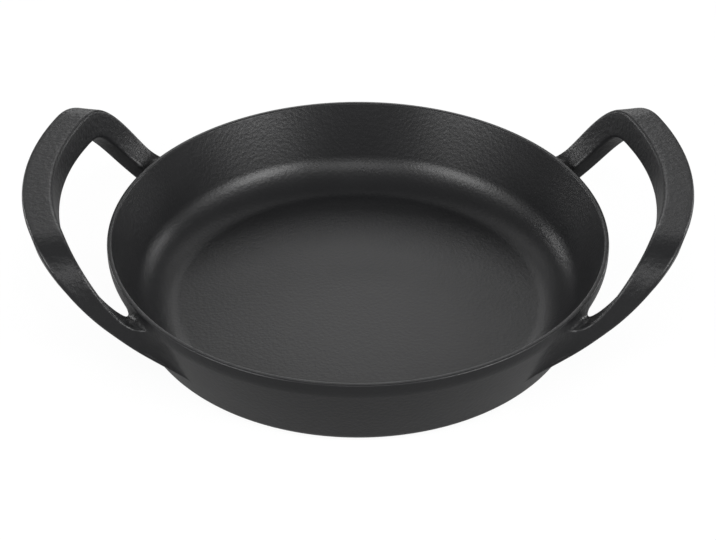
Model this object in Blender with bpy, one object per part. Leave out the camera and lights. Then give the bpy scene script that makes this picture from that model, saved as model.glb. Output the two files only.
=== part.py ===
# Shallow round cast-iron pan with a raised loop handle on each side.
#
# Metres, +Z up. The origin is the middle of the flat base, and X runs through both grips.
# The real pan is one casting in satin black enamel. The bowl and the two loops are separate
# solids here, and each loop is seated against the wall with a fine seam.

import math

import bmesh
import bpy
from mathutils import Vector

# Bowl, measured on its outside
RIM_RADIUS = 0.140
PAN_HEIGHT = 0.051
LIP_HEIGHT = 0.0064
WALL_LEAN = math.radians(21)
BASE_CORNER_RADIUS = 0.009
LIP_BLEND_RADIUS = 0.012

# Bowl, inside: one straight lean from the floor to the rim, which the upright lip makes thinner
WALL_THICKNESS = 0.0048
FLOOR_THICKNESS = 0.0050
FLOOR_FILLET_RADIUS = 0.027
RIM_EDGE_RADIUS = 0.0010

# Loop handle: where its centre line runs
HAND_GAP = 0.0268
GRIP_RISE = 0.0389
GRIP_ARC_RADIUS = 0.1600
GRIP_HALF_ANGLE = math.radians(19.7)
ARM_SPREAD = 0.0782
ROOT_DROP = 0.0177
ROOT_FALL = math.radians(29)
SHOULDER_REACH = 0.0353
SHOULDER_RISE = 0.0016
ROOT_REACH = 0.0286

# Loop handle: how far a root runs on into the wall, and how much it spreads on the way
ROOT_BITE = 0.026
ROOT_GROWTH = 1.12

# Loop handle: its four-sided section over the grip, part way down an arm and at the wall.
# A draft is how far a side leans inwards, towards the pan, as it goes down the section.
# A place is a share of the arm's length: the arm has its own section at ARM_PLACE, and it
# starts to change into the root's at ROOT_PLACE.
GRIP_WIDTH = 0.0168
GRIP_DEPTH = 0.0169
GRIP_INNER_DRAFT = math.radians(9.5)
GRIP_OUTER_DRAFT = math.radians(12.5)
GRIP_CROWN = 0.0004
ARM_PLACE = 0.833
ARM_WIDTH = 0.0099
ARM_DEPTH = 0.0150
ARM_INNER_DRAFT = math.radians(-16)
ARM_OUTER_DRAFT = math.radians(-13.5)
ARM_CROWN = 0.0002
ARM_ROLL = math.radians(89)
ROOT_PLACE = 0.727
ROOT_WIDTH = 0.0152
ROOT_DEPTH = 0.0192
ROOT_INNER_DRAFT = math.radians(5.2)
ROOT_OUTER_DRAFT = math.radians(1.4)
ROOT_ROLL = math.radians(68.5)
EDGE_RADIUS = 0.0020

# The seam between a loop and the wall that carries it
SEAT_CLEARANCE = 0.0003

# Facets
TURNED_STEPS = 72
ARC_STEP = math.radians(12)
CORNER_POINTS = 4
GRIP_RINGS = 6
ARM_RINGS = 18

LIP_BOTTOM = PAN_HEIGHT - LIP_HEIGHT


def clear_scene():
    for thing in list(bpy.data.objects):
        bpy.data.objects.remove(thing, do_unlink=True)


def satin_enamel(name, shade, roughness):
    material = bpy.data.materials.new(name)
    material.use_nodes = True
    shader = material.node_tree.nodes["Principled BSDF"]
    shader.inputs["Base Color"].default_value = (shade, shade, shade * 1.06, 1.0)
    shader.inputs["Roughness"].default_value = roughness
    shader.inputs["Metallic"].default_value = 0.0
    return material


def rounded(corners):
    """Turn (radius, height, fillet) corners into points, with an arc at each fillet."""
    points = []
    for index, (radius, height, fillet) in enumerate(corners):
        here = Vector((radius, height))
        if fillet == 0:
            points.append(here)
            continue
        back = (Vector(corners[index - 1][:2]) - here).normalized()
        ahead = (Vector(corners[index + 1][:2]) - here).normalized()
        turn = math.pi - back.angle(ahead)
        tangent = fillet * math.tan(turn / 2)
        middle = here + (back + ahead).normalized() * fillet / math.cos(turn / 2)
        start = here + back * tangent - middle
        side = math.copysign(1, back.x * ahead.y - back.y * ahead.x)
        steps = max(2, math.ceil(turn / ARC_STEP))
        for step in range(steps + 1):
            angle = -side * turn * step / steps
            spoke = Vector((start.x * math.cos(angle) - start.y * math.sin(angle),
                            start.x * math.sin(angle) + start.y * math.cos(angle)))
            points.append(middle + spoke)
    return points


def wall_radius(height, offset):
    """Radius of the leaning wall at a height, with the wall moved outwards by offset."""
    lean = (LIP_BOTTOM - height) * math.tan(WALL_LEAN)
    return RIM_RADIUS + offset / math.cos(WALL_LEAN) - lean


def outside_corners(offset):
    """Corners of the outer wall below the rim, down to the middle of the base."""
    lip_corner = LIP_BOTTOM - offset * math.tan(WALL_LEAN / 2)
    return [
        (RIM_RADIUS + offset, lip_corner, LIP_BLEND_RADIUS + offset),
        (wall_radius(-offset, offset), -offset, BASE_CORNER_RADIUS + offset),
        (0, -offset, 0),
    ]


def bowl_profile():
    floor_corner = wall_radius(FLOOR_THICKNESS, -WALL_THICKNESS)
    rim_inside = wall_radius(PAN_HEIGHT, -WALL_THICKNESS)
    return rounded([
        (0, FLOOR_THICKNESS, 0),
        (floor_corner, FLOOR_THICKNESS, FLOOR_FILLET_RADIUS),
        (rim_inside, PAN_HEIGHT, RIM_EDGE_RADIUS),
        (RIM_RADIUS, PAN_HEIGHT, RIM_EDGE_RADIUS),
        *outside_corners(0),
    ])


def seat_profile():
    """The bowl's outside as a solid plug, grown by the clearance, that trims the loops."""
    top = PAN_HEIGHT + GRIP_RISE
    return rounded([
        (0, top, 0),
        (RIM_RADIUS + SEAT_CLEARANCE, top, 0),
        *outside_corners(SEAT_CLEARANCE),
    ])


def turned(name, profile):
    """Revolve a profile, drawn at +X from top to bottom of its outside, about Z."""
    mesh = bpy.data.meshes.new(name)
    vertices = [(point.x, 0, point.y) for point in profile]
    edges = [(index, index + 1) for index in range(len(vertices) - 1)]
    mesh.from_pydata(vertices, edges, [])
    thing = bpy.data.objects.new(name, mesh)
    bpy.context.collection.objects.link(thing)
    screw = thing.modifiers.new("Revolve", "SCREW")
    screw.axis = "Z"
    screw.angle = math.tau
    screw.steps = TURNED_STEPS
    screw.render_steps = TURNED_STEPS
    screw.use_merge_vertices = True
    screw.merge_threshold = 0.00005
    return thing


def smooth(value):
    return value * value * (3 - 2 * value)


def grip_point(share):
    """Centre line over the grip: a level arc, share 0 at its middle and 1 at its +Y end."""
    middle = RIM_RADIUS + HAND_GAP + GRIP_WIDTH / 2
    height = PAN_HEIGHT + GRIP_RISE - GRIP_DEPTH / 2
    angle = GRIP_HALF_ANGLE * share
    arc_centre = Vector((middle - GRIP_ARC_RADIUS, 0, height))
    outward = Vector((math.cos(angle), math.sin(angle), 0))
    return arc_centre + outward * GRIP_ARC_RADIUS, Vector((-outward.y, outward.x, 0))


def arm_point(share):
    """Centre line of an arm: a Bezier curve from the end of the grip into the wall."""
    start, start_along = grip_point(1)
    root_height = PAN_HEIGHT - ROOT_DROP
    root_radius = wall_radius(root_height, 0)
    root = Vector((math.sqrt(root_radius ** 2 - ARM_SPREAD ** 2), ARM_SPREAD, root_height))
    inward = Vector((-math.cos(ROOT_FALL), 0, -math.sin(ROOT_FALL)))
    shoulder = start + start_along * SHOULDER_REACH + Vector((0, 0, SHOULDER_RISE))
    knee = root - inward * ROOT_REACH
    rest = 1 - share
    point = (start * rest ** 3 + shoulder * 3 * rest ** 2 * share
             + knee * 3 * rest * share ** 2 + root * share ** 3)
    along = ((shoulder - start) * rest ** 2 + (knee - shoulder) * 2 * rest * share
             + (root - knee) * share ** 2)
    return point, along.normalized()


def section(width, depth, inner_draft, outer_draft, crown):
    """Rounded four-sided section with drafted sides and a crowned underside."""
    top = depth / 2
    corners = [
        Vector((width / 2, top)),
        Vector((-width / 2, top)),
        Vector((-width / 2 - depth * math.tan(inner_draft), -top)),
        Vector((width / 2 - depth * math.tan(outer_draft), -top)),
    ]
    points = []
    for index, corner in enumerate(corners):
        back = (corners[index - 1] - corner).normalized()
        ahead = (corners[(index + 1) % len(corners)] - corner).normalized()
        for step in range(CORNER_POINTS):
            turn = math.radians(90) * step / (CORNER_POINTS - 1)
            from_back = EDGE_RADIUS * (1 - math.sin(turn))
            from_ahead = EDGE_RADIUS * (1 - math.cos(turn))
            points.append(corner + back * from_back + ahead * from_ahead)
    underside = (corners[2] + corners[3]) / 2 - Vector((0, crown))
    points.insert(3 * CORNER_POINTS, underside)
    return points


def ring(centre, along, roll, outline):
    """Place a section outline square to the centre line, rolled outwards about it."""
    level = along.cross(Vector((0, 0, 1))).normalized()
    upright = level.cross(along)
    across = level * math.cos(roll) - upright * math.sin(roll)
    up = level * math.sin(roll) + upright * math.cos(roll)
    return [centre + across * point.x + up * point.y for point in outline]


def between(first, second, share):
    return [start + (end - start) * share for start, end in zip(first, second)]


def arm_section(share):
    """Section sizes and roll along an arm, from the grip's end to the wall."""
    grip = (GRIP_WIDTH, GRIP_DEPTH, GRIP_INNER_DRAFT, GRIP_OUTER_DRAFT, GRIP_CROWN, 0)
    arm = (ARM_WIDTH, ARM_DEPTH, ARM_INNER_DRAFT, ARM_OUTER_DRAFT, ARM_CROWN, ARM_ROLL)
    root = (ROOT_WIDTH, ROOT_DEPTH, ROOT_INNER_DRAFT, ROOT_OUTER_DRAFT, 0, ROOT_ROLL)
    sizes = between(grip, arm, smooth(min(1, share / ARM_PLACE)))
    if share > ROOT_PLACE:
        sizes = between(sizes, root, ((share - ROOT_PLACE) / (1 - ROOT_PLACE)) ** 2)
    return sizes


def half_loop_rings():
    """Rings from the middle of the grip to the root inside the wall, on the +Y side."""
    rings = []
    for index in range(GRIP_RINGS):
        centre, along = grip_point(index / GRIP_RINGS)
        *sizes, roll = arm_section(0)
        rings.append(ring(centre, along, roll, section(*sizes)))
    for index in range(ARM_RINGS + 1):
        centre, along = arm_point(index / ARM_RINGS)
        *sizes, roll = arm_section(index / ARM_RINGS)
        rings.append(ring(centre, along, roll, section(*sizes)))
    end = centre - Vector((ROOT_BITE, 0, 0))
    rings.append([end + (point - centre) * ROOT_GROWTH for point in rings[-1]])
    return rings


def loop_mesh():
    """Loft the rings of the whole loop, mirrored about the middle of the grip."""
    half = half_loop_rings()
    mirrored = [[Vector((point.x, -point.y, point.z)) for point in outline] for outline in half[:0:-1]]
    lofted = bmesh.new()
    rings = [[lofted.verts.new(point) for point in outline] for outline in mirrored + half]
    for first, second in zip(rings, rings[1:]):
        for index in range(len(first)):
            after = (index + 1) % len(first)
            lofted.faces.new((first[index], first[after], second[after], second[index]))
    lofted.faces.new(rings[0])
    lofted.faces.new(rings[-1])
    bmesh.ops.recalc_face_normals(lofted, faces=lofted.faces)
    mesh = bpy.data.meshes.new("loop")
    lofted.to_mesh(mesh)
    lofted.free()
    mesh.shade_smooth()
    mesh.set_sharp_from_angle(angle=math.radians(40))
    return mesh


def make_bowl():
    bowl = turned("pan_body", bowl_profile())
    bowl.data.materials.append(satin_enamel("bowl enamel", 0.030, 0.42))
    return bowl


def make_handle(name, mesh, turn, plug):
    handle = bpy.data.objects.new(name, mesh.copy())
    bpy.context.collection.objects.link(handle)
    handle.rotation_euler.z = turn
    handle.data.materials.append(satin_enamel(name + " enamel", 0.036, 0.45))
    trim = handle.modifiers.new("Seat on the wall", "BOOLEAN")
    trim.operation = "DIFFERENCE"
    trim.solver = "EXACT"
    trim.object = plug
    return handle


def main():
    clear_scene()
    make_bowl()
    plug = turned("wall_plug", seat_profile())
    plug.hide_render = True
    plug.display_type = "WIRE"
    loop = loop_mesh()
    make_handle("right_handle", loop, 0, plug)
    make_handle("left_handle", loop, math.pi, plug)
    bpy.data.meshes.remove(loop)


main()
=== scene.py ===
import math

import bmesh
import bpy
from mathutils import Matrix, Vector


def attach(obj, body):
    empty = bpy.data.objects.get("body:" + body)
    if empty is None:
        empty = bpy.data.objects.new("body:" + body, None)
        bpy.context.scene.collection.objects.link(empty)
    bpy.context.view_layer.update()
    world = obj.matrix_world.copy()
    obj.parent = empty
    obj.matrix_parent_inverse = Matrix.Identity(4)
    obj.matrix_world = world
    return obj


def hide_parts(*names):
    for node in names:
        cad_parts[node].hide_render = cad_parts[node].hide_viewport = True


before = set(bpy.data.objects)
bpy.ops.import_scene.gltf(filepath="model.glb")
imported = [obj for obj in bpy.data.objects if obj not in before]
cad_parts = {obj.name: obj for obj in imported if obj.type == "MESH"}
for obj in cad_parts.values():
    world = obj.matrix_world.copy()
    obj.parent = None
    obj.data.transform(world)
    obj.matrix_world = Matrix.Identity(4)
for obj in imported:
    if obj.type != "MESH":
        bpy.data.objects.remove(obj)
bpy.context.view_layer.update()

# Looks for the shallow cast-iron pan: one casting in satin black enamel, with a bowl and a
# raised loop at each end. Metres, +Z up, the middle of the flat base at the origin.

bpy.ops.object.select_all(action="DESELECT")

# Camera

cameraView = {
    "place": (0.0, -0.92495, 0.68245),
    "tiltDegrees": 54.5085,
    "lens": 100.53,         # millimetres, for a 36 mm sensor
    "sensor": 36.0,
}

bpy.ops.object.camera_add(location=cameraView["place"])
camera = bpy.context.object
camera.name = "pictureCamera"
camera.rotation_euler = (math.radians(cameraView["tiltDegrees"]), 0, 0)
camera.data.sensor_fit = "HORIZONTAL"
camera.data.sensor_width = cameraView["sensor"]
camera.data.lens = cameraView["lens"]
bpy.context.scene.camera = camera
print("camera ready")


def selectFaces(piece, wanted):
    # selects the faces that pass a test, and no others
    bpy.ops.mesh.select_mode(type="FACE")
    bpy.ops.mesh.select_all(action="DESELECT")
    shape = bmesh.from_edit_mesh(piece.data)
    for face in shape.faces:
        face.select = wanted(face)
    bmesh.update_edit_mesh(piece.data)


def finishPiece(piece, smoothDegrees):
    bpy.ops.object.mode_set(mode="OBJECT")
    bpy.ops.object.shade_smooth_by_angle(angle=math.radians(smoothDegrees))
    piece.select_set(False)


# Bowl

bowlShape = {
    "sides": 256,
    "rimRadius": 0.140,
    "height": 0.051,
    "lip": 0.0064,          # upright band under the rim
    "leanDegrees": 21.0,
    "wall": 0.0048,         # the upright lip leaves less of it at the rim
    "floor": 0.0050,
    "flatEdge": 0.003,      # narrow band that keeps the flat discs flat in the shading
    "smoothDegrees": 35,
    # rounded rings: radius, and steps round it
    "rimEdge": (0.0010, 8),
    "lipBlend": (0.012, 6),
    "baseCorner": (0.009, 12),
    "floorFillet": (0.025, 24),
}

lean = math.radians(bowlShape["leanDegrees"])
lipBottom = bowlShape["height"] - bowlShape["lip"]


def wallRadius(height, inset):
    # radius of the leaning wall at a height, so far in from its outside, square to it
    return bowlShape["rimRadius"] - inset / math.cos(lean) - (lipBottom - height) * math.tan(lean)


def raiseDisc(disc, height, radius):
    # pulls the selected disc to a new height and radius, and leaves a band of wall behind it
    bpy.ops.mesh.extrude_region_move()
    bpy.ops.transform.translate(value=(0, 0, height - disc["height"]))
    grow = radius / disc["radius"]
    bpy.ops.transform.resize(value=(grow, grow, 1), center_override=(0, 0, height))
    disc["height"] = height
    disc["radius"] = radius


def roundRing(piece, height, radius, rounding, turnDegrees):
    # bevels the ring of edges at a height and radius, where the profile turns by so many degrees
    fillet, steps = bowlShape[rounding]
    bpy.ops.mesh.select_mode(type="EDGE")
    bpy.ops.mesh.select_all(action="DESELECT")
    shape = bmesh.from_edit_mesh(piece.data)
    near = 0.00005          # metres
    for edge in shape.edges:
        edge.select = all(
            abs(vert.co.z - height) < near and abs(vert.co.xy.length - radius) < near
            for vert in edge.verts)
    bmesh.update_edit_mesh(piece.data)
    width = fillet * math.tan(math.radians(turnDegrees) / 2)
    bpy.ops.mesh.bevel(offset=width, offset_type="OFFSET", segments=steps, profile=0.5,
                       affect="EDGES", clamp_overlap=False)


def makeBowl():
    radius = wallRadius(0, 0)
    bpy.ops.mesh.primitive_circle_add(vertices=bowlShape["sides"], radius=radius, fill_type="NGON")
    bowl = bpy.context.object
    bowl.name = "panBowl"
    bpy.ops.object.mode_set(mode="EDIT")
    bpy.ops.mesh.select_mode(type="FACE")
    disc = {"height": 0.0, "radius": radius}
    rim = bowlShape["rimRadius"]
    top = bowlShape["height"]
    wall = bowlShape["wall"]
    rimInside = wallRadius(top, wall)
    floor = bowlShape["floor"]
    floorRadius = wallRadius(floor, wall)
    raiseDisc(disc, lipBottom, rim)
    raiseDisc(disc, top, rim)
    raiseDisc(disc, top, rimInside)
    raiseDisc(disc, floor, floorRadius)
    bpy.ops.mesh.select_all(action="SELECT")
    bpy.ops.mesh.normals_make_consistent(inside=False)
    turn = bowlShape["leanDegrees"]
    roundRing(bowl, top, rim, "rimEdge", 90)
    roundRing(bowl, top, rimInside, "rimEdge", 90 - turn)
    roundRing(bowl, lipBottom, rim, "lipBlend", turn)
    roundRing(bowl, 0, radius, "baseCorner", 90 - turn)
    roundRing(bowl, floor, floorRadius, "floorFillet", 90 - turn)
    selectFaces(bowl, lambda face: len(face.verts) == bowlShape["sides"])
    bpy.ops.mesh.inset(thickness=bowlShape["flatEdge"], use_individual=True)
    finishPiece(bowl, bowlShape["smoothDegrees"])
    return bowl


bowl = makeBowl()
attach(bowl, "root")
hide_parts("pan_body")
print("bowl ready", len(bowl.data.vertices), "points")


# Loop handles. A four-sided bar is drawn along its centre line: over the grip, round the bend
# and down each arm, turning on the way so that the top of the grip becomes the arm's outer
# side. Each arm then spreads into the wall with a cast fillet.

loopShape = {
    "handGap": 0.0267,          # from the rim to the grip
    "rise": 0.0388,             # of the grip's top above the rim
    "arcRadius": 0.1600,        # of the grip's centre line, seen from above
    "halfAngleDegrees": 19.7,
    "armSpread": 0.0782,        # from the middle of the loop to the middle of a root
    "rootDrop": 0.0177,         # of the middle of a root below the rim
    "rootFallDegrees": 29.0,    # slope of the arm where it reaches the wall
    "shoulderReach": 0.0353,    # handles of the arm's curve: on from the grip
    "shoulderRise": 0.0016,     # and a little up,
    "rootReach": 0.0286,        # and back from the root
    "rootBite": 0.026,          # how far the bar runs on before it is cut at the wall,
    "rootGrowth": 1.12,         # and how much it grows on the way
    # width, depth, inner and outer draft in degrees, crown, and roll in degrees
    "grip": (0.0168, 0.0169, 9.5, 12.5, 0.0004, 0.0),
    "arm": (0.0099, 0.0150, -16.0, -13.5, 0.0002, 89.0),
    "root": (0.0152, 0.0192, 5.2, 1.4, 0.0, 68.5),
    "armPlace": 0.833,          # share of the way down where the grip has become the arm
    "rootPlace": 0.727,         # and from where it grows into the root
    "edge": 0.0020,             # rounding of the bar's four edges
    "edgeSteps": 7,
    "sideSteps": 5,
    "gripRings": 14,
    "armRings": 44,
    "drawnRings": 56,
    "filletRings": 20,
    "smoothDegrees": 50,
}

# The cast fillet round a root. At each corner of the bar: where it bends and where it ends,
# each as degrees round the wall and metres up it from the place where the bar meets the wall,
# and how far back along the bar it starts.
rootFillets = {
    "outerLow": (0.0, -0.0105, 5.0, -0.0140, 0.0170),
    "outerTop": (0.0, 0.0014, 5.1, 0.0071, 0.0092),
    "innerTop": (0.0, 0.0015, -4.0, 0.0080, 0.0075),
    "innerLow": (0.0, 0.0, -3.0, -0.0060, 0.0080),
}
webFill = 0.0040            # how much fuller it is between the two top corners
filletTop = 0.0496          # it stays under the rounded rim
filletSink = 0.0015         # how deep its closed end lies in the wall
filletPull = 2 / 3          # how far towards the bend its curve is drawn at both ends


def mix(first, second, share):
    return [a + (b - a) * share for a, b in zip(first, second)]


def ease(share):
    share = min(1.0, max(0.0, share))
    return share * share * (3 - 2 * share)


def barSizes(share):
    sizes = mix(loopShape["grip"], loopShape["arm"], ease(share / loopShape["armPlace"]))
    if share > loopShape["rootPlace"]:
        late = (share - loopShape["rootPlace"]) / (1 - loopShape["rootPlace"])
        sizes = mix(sizes, loopShape["root"], late ** 2)
    return sizes


def barOutline(width, depth, innerDraft, outerDraft, crown):
    # section of the bar, from its outer top corner over the top to the inner side and below
    top = depth / 2
    corners = [
        Vector((width / 2, top)),
        Vector((-width / 2, top)),
        Vector((-width / 2 - depth * math.tan(math.radians(innerDraft)), -top)),
        Vector((width / 2 - depth * math.tan(math.radians(outerDraft)), -top)),
    ]
    points = []
    for index, corner in enumerate(corners):
        following = corners[(index + 1) % 4]
        back = (corners[index - 1] - corner).normalized()
        ahead = (following - corner).normalized()
        for step in range(loopShape["edgeSteps"]):
            turn = math.radians(90) * step / (loopShape["edgeSteps"] - 1)
            points.append(corner + back * loopShape["edge"] * (1 - math.sin(turn))
                          + ahead * loopShape["edge"] * (1 - math.cos(turn)))
        start = points[-1]
        end = following - ahead * loopShape["edge"]
        for step in range(1, loopShape["sideSteps"] + 1):
            share = step / (loopShape["sideSteps"] + 1)
            point = start + (end - start) * share
            if index == 2:      # the underside is crowned
                point = point - Vector((0, crown * math.sin(math.pi * share)))
            points.append(point)
    return points


def barRing(centre, along, sizes):
    level = along.cross(Vector((0, 0, 1))).normalized()
    upright = level.cross(along)
    *outline, rollDegrees = sizes
    roll = math.radians(rollDegrees)
    across = level * math.cos(roll) - upright * math.sin(roll)
    up = level * math.sin(roll) + upright * math.cos(roll)
    return [centre + across * point.x + up * point.y for point in barOutline(*outline)]


def gripPlace(share):
    # centre line and heading over the grip, from its middle to the bend
    width, depth = loopShape["grip"][:2]
    middle = bowlShape["rimRadius"] + loopShape["handGap"] + width / 2
    height = bowlShape["height"] + loopShape["rise"] - depth / 2
    angle = math.radians(loopShape["halfAngleDegrees"]) * share
    radius = loopShape["arcRadius"]
    outward = Vector((math.cos(angle), math.sin(angle), 0))
    centre = Vector((middle - radius, 0, height)) + outward * radius
    return centre, Vector((-outward.y, outward.x, 0))


def armPlace(share):
    # the same down the arm, from the bend to the root
    start, startAlong = gripPlace(1)
    rootHeight = bowlShape["height"] - loopShape["rootDrop"]
    spread = loopShape["armSpread"]
    root = Vector((math.sqrt(wallRadius(rootHeight, 0) ** 2 - spread ** 2), spread, rootHeight))
    fall = math.radians(loopShape["rootFallDegrees"])
    inward = Vector((-math.cos(fall), 0, -math.sin(fall)))
    shoulder = start + startAlong * loopShape["shoulderReach"]
    shoulder.z += loopShape["shoulderRise"]
    knee = root - inward * loopShape["rootReach"]
    rest = 1 - share
    centre = (start * rest ** 3 + shoulder * 3 * rest ** 2 * share
              + knee * 3 * rest * share ** 2 + root * share ** 3)
    along = ((shoulder - start) * rest ** 2 + (knee - shoulder) * 2 * rest * share
             + (root - knee) * share ** 2)
    return centre, along.normalized()


def barRings():
    rings = []
    for index in range(loopShape["gripRings"]):
        centre, along = gripPlace(index / loopShape["gripRings"])
        rings.append(barRing(centre, along, barSizes(0)))
    for index in range(loopShape["armRings"] + 1):
        share = index / loopShape["armRings"]
        centre, along = armPlace(share)
        rings.append(barRing(centre, along, barSizes(share)))
    end = centre - Vector((loopShape["rootBite"], 0, 0))
    rings.append([end + (point - centre) * loopShape["rootGrowth"] for point in rings[-1]])
    return rings


# The outside of the wall, as the fillet meets it

lipBlend = bowlShape["lipBlend"][0]
blendHalf = lipBlend * math.tan(lean / 2)


def outerWall(height):
    # radius of the wall and how far it leans there
    if height <= lipBottom - blendHalf * math.cos(lean):
        return wallRadius(height, 0), lean
    centreHeight = lipBottom + blendHalf
    if height >= centreHeight:
        return bowlShape["rimRadius"], 0.0
    slant = math.asin((centreHeight - height) / lipBlend)
    return bowlShape["rimRadius"] - lipBlend + lipBlend * math.cos(slant), slant


def wallGap(point):
    # how far a point stands off the wall
    radius, slant = outerWall(point.z)
    return (point.xy.length - radius) * math.cos(slant)


def wallNormal(point):
    slant = outerWall(point.z)[1]
    away = Vector((point.x, point.y, 0)).normalized()
    return away * math.cos(slant) - Vector((0, 0, math.sin(slant)))


def meetWall(line):
    # where a line along the bar passes into the wall: index of the point before, and the place
    halvings = 20
    for index in range(len(line) - 1, 0, -1):
        outside, inside = wallGap(line[index - 1]), wallGap(line[index])
        if outside > 0 >= inside:
            low, high = line[index - 1], line[index]
            for attempt in range(halvings):
                middle = (low + high) / 2
                if wallGap(middle) > 0:
                    low = middle
                else:
                    high = middle
            return index - 1, (low + high) / 2
    return len(line) - 2, line[-1]


def evenPoints(line, count):
    # so many points along a line, the same distance apart
    lengths = [0.0]
    for start, end in zip(line, line[1:]):
        lengths.append(lengths[-1] + (end - start).length)
    points = []
    spot = 0
    for index in range(count):
        wanted = lengths[-1] * index / (count - 1)
        while spot < len(line) - 2 and lengths[spot + 1] < wanted:
            spot += 1
        span = lengths[spot + 1] - lengths[spot]
        share = (wanted - lengths[spot]) / span if span > 0 else 0
        points.append(line[spot] + (line[spot + 1] - line[spot]) * min(1, share))
    return points


def cutBack(line, index, end, distance):
    # the line up to a place that lies a distance before its end
    kept = line[:index + 1] + [end]
    left = distance
    while len(kept) > 2:
        span = (kept[-1] - kept[-2]).length
        if span > left:
            break
        left -= span
        kept.pop()
    step = kept[-1] - kept[-2]
    longest = step.length * 0.9     # some of the last step always stays
    kept[-1] = kept[-1] - step.normalized() * min(left, longest)
    return kept


def onWall(point, turnDegrees, climb):
    # a place on the wall, so many degrees round it and so far up from another
    angle = math.atan2(point.y, point.x) + math.radians(turnDegrees)
    height = min(filletTop, point.z + climb)
    radius = outerWall(height)[0]
    return Vector((radius * math.cos(angle), radius * math.sin(angle), height))


def filletSizes(index):
    # the fillet's sizes for one line of the bar: even over a corner, and eased along a side
    corners = list(rootFillets.values())
    corner, place = divmod(index, loopShape["edgeSteps"] + loopShape["sideSteps"])
    share = max(0, place - loopShape["edgeSteps"] + 1) / (loopShape["sideSteps"] + 1)
    bendTurn, bendClimb, endTurn, endClimb, cut = mix(
        corners[corner], corners[(corner + 1) % 4], ease(share))
    if corner == 1:         # the web, from the outer to the inner top corner
        fill = webFill * math.sin(math.pi * share) ** 2
        bendClimb += fill
        cut += fill
    return bendTurn, bendClimb, endTurn, endClimb, cut


def loopRings():
    rings = barRings()
    lines = [[ring[index] for ring in rings] for index in range(len(rings[0]))]
    meetings = [meetWall(line) for line in lines]
    bodies, leaves, arrivals, ends = [], [], [], []
    for index, line in enumerate(lines):
        before, contact = meetings[index]
        bendTurn, bendClimb, endTurn, endClimb, cut = filletSizes(index)
        body = cutBack(line, before, contact, cut)
        end = onWall(contact, endTurn, endClimb)
        # the bend is laid on the plane that touches the wall at the end, so no crease shows there
        facing = wallNormal(end)
        bend = onWall(contact, bendTurn, bendClimb)
        bend -= facing * (bend - end).dot(facing)
        bodies.append(body)
        heading = (body[-1] - body[-2]).normalized()
        leaves.append(body[-1] + heading * (contact - body[-1]).length * filletPull)
        arrivals.append(end + (bend - end) * filletPull)
        ends.append(end)
    drawn = [evenPoints(body, loopShape["drawnRings"]) for body in bodies]
    result = [[line[index] for line in drawn] for index in range(loopShape["drawnRings"])]
    for step in range(1, loopShape["filletRings"] + 1):
        share = step / loopShape["filletRings"]
        rest = 1 - share
        result.append([
            body[-1] * rest ** 3 + leave * 3 * rest ** 2 * share
            + arrival * 3 * rest * share ** 2 + end * share ** 3
            for body, leave, arrival, end in zip(bodies, leaves, arrivals, ends)])
    result.append([end - wallNormal(end) * filletSink for end in ends])
    return result


def placeFace(piece, places):
    # moves the corners of the selected face to their places
    shape = bmesh.from_edit_mesh(piece.data)
    face = next(face for face in shape.faces if face.select)
    for vert, place in zip(face.verts, places):
        vert.co = place
    bmesh.update_edit_mesh(piece.data)


def makeLoop():
    rings = loopRings()
    halfWidth = loopShape["grip"][0] / 2
    bpy.ops.mesh.primitive_circle_add(vertices=len(rings[0]), radius=halfWidth, fill_type="NGON")
    loop = bpy.context.object
    loop.name = "rightLoop"
    bpy.ops.object.mode_set(mode="EDIT")
    bpy.ops.mesh.select_mode(type="FACE")
    placeFace(loop, rings[0])
    for ring in rings[1:]:
        bpy.ops.mesh.extrude_region_move()
        placeFace(loop, ring)
    # the end at the middle of the grip is opened, and the other half mirrored on to it
    near = 0.00001          # metres
    selectFaces(loop, lambda face: all(abs(vert.co.y) < near for vert in face.verts))
    bpy.ops.mesh.delete(type="ONLY_FACE")
    bpy.ops.object.mode_set(mode="OBJECT")
    mirror = loop.modifiers.new("Other half", "MIRROR")
    mirror.use_axis = (False, True, False)
    mirror.merge_threshold = near
    bpy.ops.object.modifier_apply(modifier=mirror.name)
    bpy.ops.object.mode_set(mode="EDIT")
    bpy.ops.mesh.select_all(action="SELECT")
    bpy.ops.mesh.normals_make_consistent(inside=False)
    finishPiece(loop, loopShape["smoothDegrees"])
    return loop


rightLoop = makeLoop()
rightLoop.select_set(True)
bpy.context.view_layer.objects.active = rightLoop
bpy.ops.object.duplicate()
leftLoop = bpy.context.object
leftLoop.name = "leftLoop"
bpy.ops.transform.rotate(value=math.pi, orient_axis="Z", center_override=(0, 0, 0))
bpy.ops.object.transform_apply(location=True, rotation=True, scale=True)
leftLoop.select_set(False)

for loop, node in ((rightLoop, "right_handle"), (leftLoop, "left_handle")):
    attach(loop, "root")
    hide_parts(node)
print("loops ready", len(rightLoop.data.vertices), "points each")


# Enamel. One group makes the cast grain and the slow change in the coat, and each material
# places it with its own values.

castGrain = {
    "fineDetail": 3.0,
    "fineRoughness": 0.6,
    "pitScale": 0.45,       # of the grain's own scale
    "pitSmoothness": 0.6,
    "slowScale": 42.0,
    "slowDetail": 4.0,
    "slowRoughness": 0.55,
    "slowShare": 0.6,       # of the change in tone and gloss, with the fine grain for the rest
}


def calculate(tree, operation, *values):
    # a maths node on sockets and plain numbers
    node = tree.nodes.new("ShaderNodeMath")
    node.operation = operation
    for socket, value in zip(node.inputs, values):
        if isinstance(value, float):
            socket.default_value = value
        else:
            tree.links.new(value, socket)
    return node.outputs[0]


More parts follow.
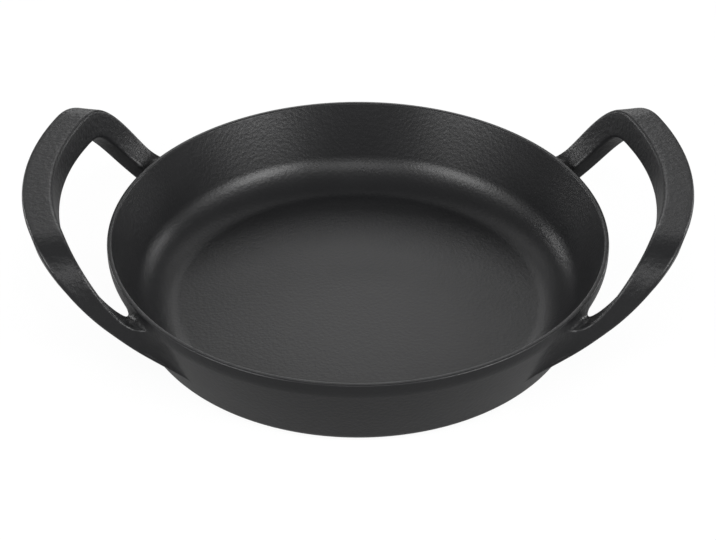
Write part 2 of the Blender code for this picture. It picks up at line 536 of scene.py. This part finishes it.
def makeGrainGroup():
    group = bpy.data.node_groups.new("castGrain", "ShaderNodeTree")
    for name in ("Grain Size", "Grain Depth", "Tone Change", "Roughness", "Roughness Change"):
        group.interface.new_socket(name=name, in_out="INPUT", socket_type="NodeSocketFloat")
    group.interface.new_socket(name="Colour", in_out="INPUT", socket_type="NodeSocketColor")
    for name, kind in (("Colour", "NodeSocketColor"), ("Roughness", "NodeSocketFloat"),
                       ("Height", "NodeSocketFloat")):
        group.interface.new_socket(name=name, in_out="OUTPUT", socket_type=kind)
    nodes, links = group.nodes, group.links
    given = nodes.new("NodeGroupInput")
    result = nodes.new("NodeGroupOutput")
    place = nodes.new("ShaderNodeTexCoord")

    fine = nodes.new("ShaderNodeTexNoise")
    fine.inputs["Detail"].default_value = castGrain["fineDetail"]
    fine.inputs["Roughness"].default_value = castGrain["fineRoughness"]
    links.new(place.outputs["Object"], fine.inputs["Vector"])
    links.new(given.outputs["Grain Size"], fine.inputs["Scale"])

    pits = nodes.new("ShaderNodeTexVoronoi")
    pits.feature = "SMOOTH_F1"
    pits.inputs["Smoothness"].default_value = castGrain["pitSmoothness"]
    pitScale = calculate(group, "MULTIPLY", given.outputs["Grain Size"], castGrain["pitScale"])
    links.new(place.outputs["Object"], pits.inputs["Vector"])
    links.new(pitScale, pits.inputs["Scale"])

    slow = nodes.new("ShaderNodeTexNoise")
    slow.inputs["Scale"].default_value = castGrain["slowScale"]
    slow.inputs["Detail"].default_value = castGrain["slowDetail"]
    slow.inputs["Roughness"].default_value = castGrain["slowRoughness"]
    links.new(place.outputs["Object"], slow.inputs["Vector"])

    # height: fine grain over soft pits
    relief = calculate(group, "ADD", fine.outputs["Fac"], pits.outputs["Distance"])
    height = calculate(group, "MULTIPLY", relief, given.outputs["Grain Depth"])
    links.new(height, result.inputs["Height"])

    slowShare = castGrain["slowShare"]
    finePart = calculate(group, "MULTIPLY", fine.outputs["Fac"], 1 - slowShare)
    coat = calculate(group, "MULTIPLY_ADD", slow.outputs["Fac"], slowShare, finePart)
    centred = calculate(group, "SUBTRACT", coat, 0.5)

    tone = calculate(group, "MULTIPLY_ADD", centred, given.outputs["Tone Change"], 1.0)
    shade = nodes.new("ShaderNodeVectorMath")
    shade.operation = "SCALE"
    links.new(given.outputs["Colour"], shade.inputs[0])
    links.new(tone, shade.inputs["Scale"])
    links.new(shade.outputs["Vector"], result.inputs["Colour"])

    gloss = calculate(group, "MULTIPLY_ADD", centred, given.outputs["Roughness Change"], 1.0)
    roughness = calculate(group, "MULTIPLY", gloss, given.outputs["Roughness"])
    roughness.node.use_clamp = True
    links.new(roughness, result.inputs["Roughness"])
    return group


grainGroup = makeGrainGroup()

enamels = {
    "bowlEnamel": {         # finer and smoother than on the loops
        "colour": (0.0085, 0.0086, 0.0092),
        "specular": 0.29,
        "Grain Size": 1100.0,
        "Grain Depth": 1.0,
        "Tone Change": 0.5,
        "Roughness": 0.35,
        "Roughness Change": 0.25,
        "bump": 0.65,
        "bumpDistance": 0.00010,
    },
    "loopEnamel": {
        "colour": (0.0085, 0.0086, 0.0092),
        "specular": 0.30,
        "Grain Size": 800.0,
        "Grain Depth": 1.0,
        "Tone Change": 0.7,
        "Roughness": 0.38,
        "Roughness Change": 0.3,
        "bump": 0.9,
        "bumpDistance": 0.00018,
    },
}


def makeEnamel(name):
    look = enamels[name]
    material = bpy.data.materials.new(name)
    material.use_nodes = True
    nodes, links = material.node_tree.nodes, material.node_tree.links
    shader = nodes["Principled BSDF"]
    shader.inputs["Specular IOR Level"].default_value = look["specular"]
    grain = nodes.new("ShaderNodeGroup")
    grain.node_tree = grainGroup
    grain.inputs["Colour"].default_value = (*look["colour"], 1)
    for key in ("Grain Size", "Grain Depth", "Tone Change", "Roughness", "Roughness Change"):
        grain.inputs[key].default_value = look[key]
    bump = nodes.new("ShaderNodeBump")
    bump.inputs["Strength"].default_value = look["bump"]
    bump.inputs["Distance"].default_value = look["bumpDistance"]
    links.new(grain.outputs["Colour"], shader.inputs["Base Color"])
    links.new(grain.outputs["Roughness"], shader.inputs["Roughness"])
    links.new(grain.outputs["Height"], bump.inputs["Height"])
    links.new(bump.outputs["Normal"], shader.inputs["Normal"])
    return material


bowl.data.materials.append(makeEnamel("bowlEnamel"))
loopEnamel = makeEnamel("loopEnamel")
for loop in (rightLoop, leftLoop):
    loop.data.materials.append(loopEnamel)
print("enamel ready")


# Floor and lights

studio = {
    "floorHalf": 8.0,
    "floorDrop": 0.0003,
    "floorTone": 0.92,      # to the camera
    "bounceTone": 0.36,     # to the light that goes on from the floor to the pan
    "seenWhite": 0.92,      # how far the camera sees plain white, with the shadow in what is left
    "shineWhite": 0.10,     # the same for reflections: the wall mirrors the shadow under it
    "worldLevel": 0.22,
    "lampDistance": 2.0,
}


def whiteShare(tree):
    # how white the backdrop is to a ray, by what the ray is for
    rays = tree.nodes.new("ShaderNodeLightPath").outputs
    seen = calculate(tree, "MAXIMUM", rays["Is Camera Ray"], rays["Is Transmission Ray"])
    direct = calculate(tree, "MULTIPLY", seen, studio["seenWhite"])
    return calculate(tree, "MULTIPLY_ADD", rays["Is Glossy Ray"], studio["shineWhite"], direct)


def makeFloor():
    bpy.ops.mesh.primitive_plane_add(
        size=2 * studio["floorHalf"], location=(0, 0, -studio["floorDrop"]))
    floor = bpy.context.object
    floor.name = "whiteFloor"
    material = bpy.data.materials.new("whiteFloor")
    material.use_nodes = True
    nodes, links = material.node_tree.nodes, material.node_tree.links
    nodes.remove(nodes["Principled BSDF"])
    paint = nodes.new("ShaderNodeBsdfDiffuse")
    rays = nodes.new("ShaderNodeLightPath")
    tone = nodes.new("ShaderNodeMapRange")
    tone.inputs["To Min"].default_value = studio["bounceTone"]
    tone.inputs["To Max"].default_value = studio["floorTone"]
    links.new(rays.outputs["Is Camera Ray"], tone.inputs["Value"])
    links.new(tone.outputs[0], paint.inputs["Color"])
    glow = nodes.new("ShaderNodeEmission")
    both = nodes.new("ShaderNodeMixShader")
    links.new(whiteShare(material.node_tree), both.inputs["Fac"])
    links.new(paint.outputs[0], both.inputs[1])
    links.new(glow.outputs[0], both.inputs[2])
    links.new(both.outputs[0], nodes["Material Output"].inputs["Surface"])
    floor.data.materials.append(material)
    floor.select_set(False)


# where each box stands: degrees round from the back, and degrees up
lamps = {
    "leftBox": {"round": -126.0, "up": 30.0, "size": (1.10, 0.60), "power": 30.0},
    "rightBox": {"round": 126.0, "up": 30.0, "size": (1.10, 0.60), "power": 36.0},
    "leftFill": {"round": -90.0, "up": 28.0, "size": (0.60, 0.50), "power": 3.0},
    "rightFill": {"round": 90.0, "up": 28.0, "size": (0.60, 0.50), "power": 3.0},
    "leftLow": {"round": -55.0, "up": 13.0, "size": (0.50, 0.40), "power": 7.8},
    "rightLow": {"round": 55.0, "up": 13.0, "size": (0.50, 0.40), "power": 7.8},
    "leftHigh": {"round": -30.0, "up": 42.0, "size": (0.60, 0.60), "power": 1.6},
    "rightHigh": {"round": 30.0, "up": 42.0, "size": (0.60, 0.60), "power": 1.6},
    "backLow": {"round": 0.0, "up": 15.0, "size": (0.80, 0.50), "power": 3.6},
    "backBox": {"round": 0.0, "up": 34.0, "size": (0.60, 0.60), "power": 2.7},
    "topBox": {"round": 0.0, "up": 52.0, "size": (1.60, 0.50), "power": 2.0},
    "frontBox": {"round": 180.0, "up": 46.0, "size": (1.00, 0.60), "power": 9.5},
}


def makeLamps():
    for name, lamp in lamps.items():
        around, up = math.radians(lamp["round"]), math.radians(lamp["up"])
        level = math.cos(up)
        toward = Vector((math.sin(around) * level, math.cos(around) * level, math.sin(up)))
        bpy.ops.object.light_add(type="AREA", location=toward * studio["lampDistance"])
        light = bpy.context.object
        light.name = name
        light.data.shape = "RECTANGLE"
        light.data.size, light.data.size_y = lamp["size"]
        light.data.energy = lamp["power"]
        light.rotation_euler = (-toward).to_track_quat("-Z", "Y").to_euler()
        light.select_set(False)


def makeWorld():
    world = bpy.data.worlds.new("studioAir")
    bpy.context.scene.world = world
    world.use_nodes = True
    tree = world.node_tree
    sky = tree.nodes["Background"]
    sky.inputs["Color"].default_value = (1, 1, 1, 1)
    level = calculate(tree, "MAXIMUM", whiteShare(tree), studio["worldLevel"])
    tree.links.new(level, sky.inputs["Strength"])


makeFloor()
makeLamps()
makeWorld()
bpy.context.scene.view_settings.view_transform = "Standard"
print("studio ready")
